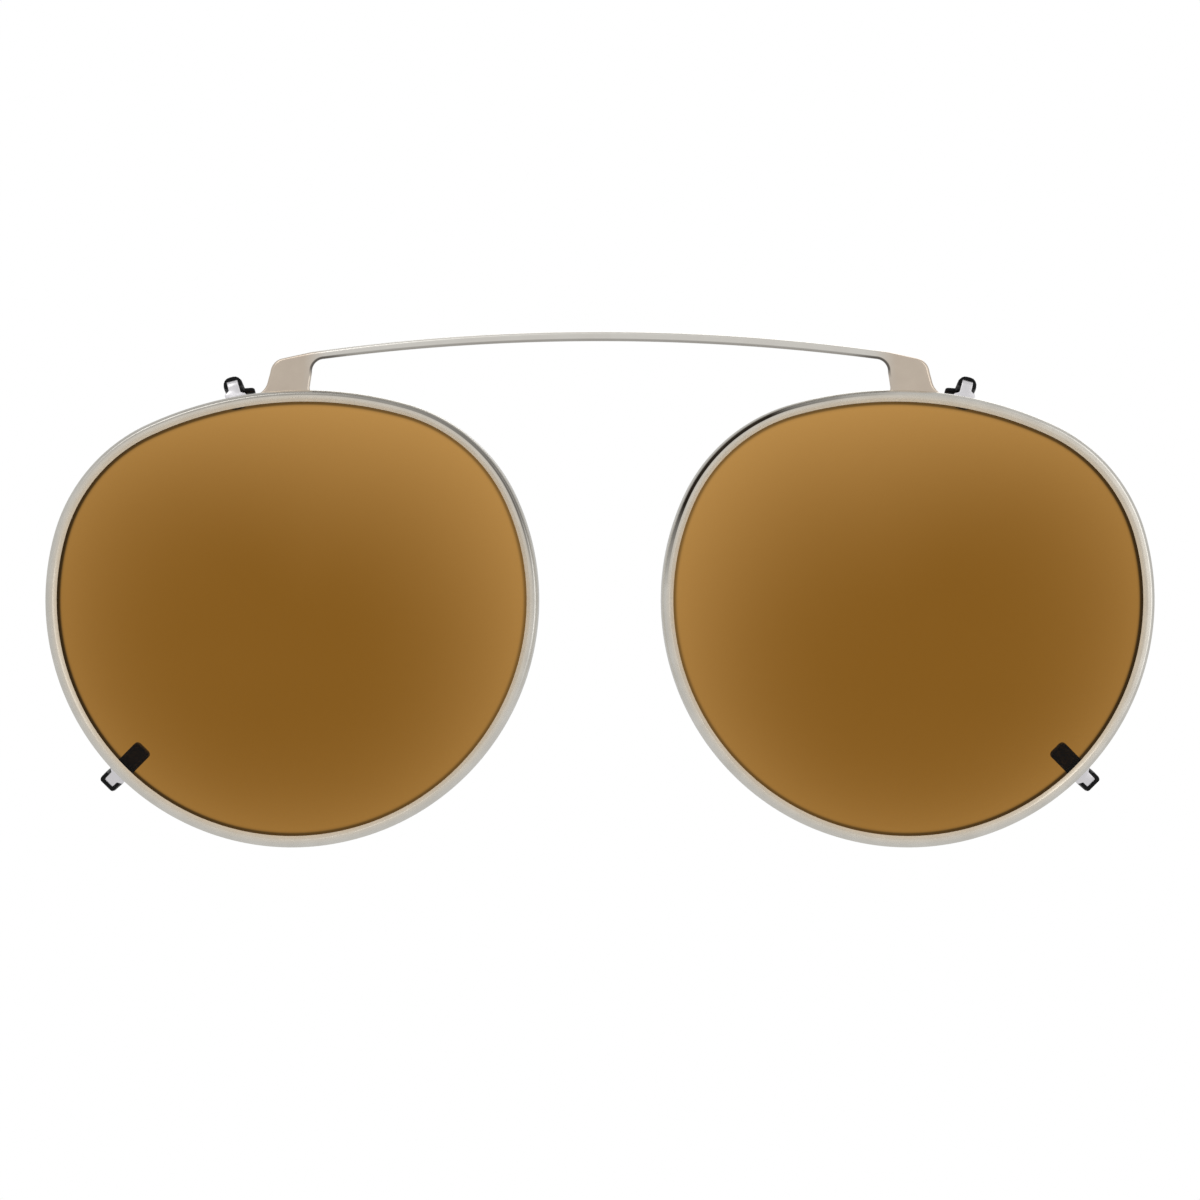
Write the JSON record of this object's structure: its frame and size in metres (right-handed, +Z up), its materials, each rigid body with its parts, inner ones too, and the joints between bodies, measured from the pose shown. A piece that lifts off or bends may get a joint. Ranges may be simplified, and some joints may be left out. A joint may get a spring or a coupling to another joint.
{
  "type": "clip-on spectacle lenses",
  "caption": "Clip-on sun lenses: thin metal rims with tinted lenses, joined by a springy arched bar, with sleeved hooks that grip a spectacle front.",
  "frame": {"origin": "midway between the lenses at their centre height less 1 mm, on the plane where the host spectacles' front bears on the rims' rear edges", "axes": "+Z up, the front faces -Y, +X to the right as seen from the front; left and right in names are as seen from the front"},
  "size_m": [0.1164, 0.0108, 0.054],
  "materials": {
    "rim_metal": "polished nickel-silver look, lightly satin",
    "hook_metal": "bright",
    "lens_tint": "gloss, tinted amber brown, transparent",
    "hook_sleeve": "smooth, soft, black"
  },
  "bodies": {
    "left_half": {"left_rim": "rim_metal", "left_lens": "lens_tint", "bridge": "rim_metal"},
    "right_half": {"right_rim": "rim_metal", "right_lens": "lens_tint"},
    "left_top_hook": {"left_top_claw": "hook_metal", "left_top_sleeve": "hook_sleeve"},
    "left_bottom_hook": {"left_bottom_claw": "hook_metal", "left_bottom_sleeve": "hook_sleeve"},
    "right_top_hook": {"right_top_claw": "hook_metal", "right_top_sleeve": "hook_sleeve"},
    "right_bottom_hook": {"right_bottom_claw": "hook_metal", "right_bottom_sleeve": "hook_sleeve"}
  },
  "joints": [
    {"name": "bridge_flex", "type": "hinge", "parent": "left_half", "child": "right_half", "pos_m": [0, -0.00276, 0.0286], "axis": [0, -1, 0], "range_deg": [-1.5, 3], "stiffness_Nm_per_rad": 0.31, "deforming": ["bridge"]},
    {"name": "left_top_hook_flex", "type": "hinge", "parent": "left_half", "child": "left_top_hook", "pos_m": [-0.03821, -0.00005, 0.02229], "axis": [0.966, 0, 0.2585], "range_deg": [0, 8], "stiffness_Nm_per_rad": 0.03},
    {"name": "left_bottom_hook_flex", "type": "hinge", "parent": "left_half", "child": "left_bottom_hook", "pos_m": [-0.05065, 0.00145, -0.0172], "axis": [-0.7092, 0, 0.705], "range_deg": [0, 8], "stiffness_Nm_per_rad": 0.03},
    {"name": "right_top_hook_flex", "type": "hinge", "parent": "right_half", "child": "right_top_hook", "pos_m": [0.03821, -0.00005, 0.02229], "axis": [0.966, 0, -0.2585], "range_deg": [0, 8], "stiffness_Nm_per_rad": 0.03},
    {"name": "right_bottom_hook_flex", "type": "hinge", "parent": "right_half", "child": "right_bottom_hook", "pos_m": [0.05065, 0.00145, -0.0172], "axis": [-0.7092, 0, -0.705], "range_deg": [0, 8], "stiffness_Nm_per_rad": 0.03}
  ]
}
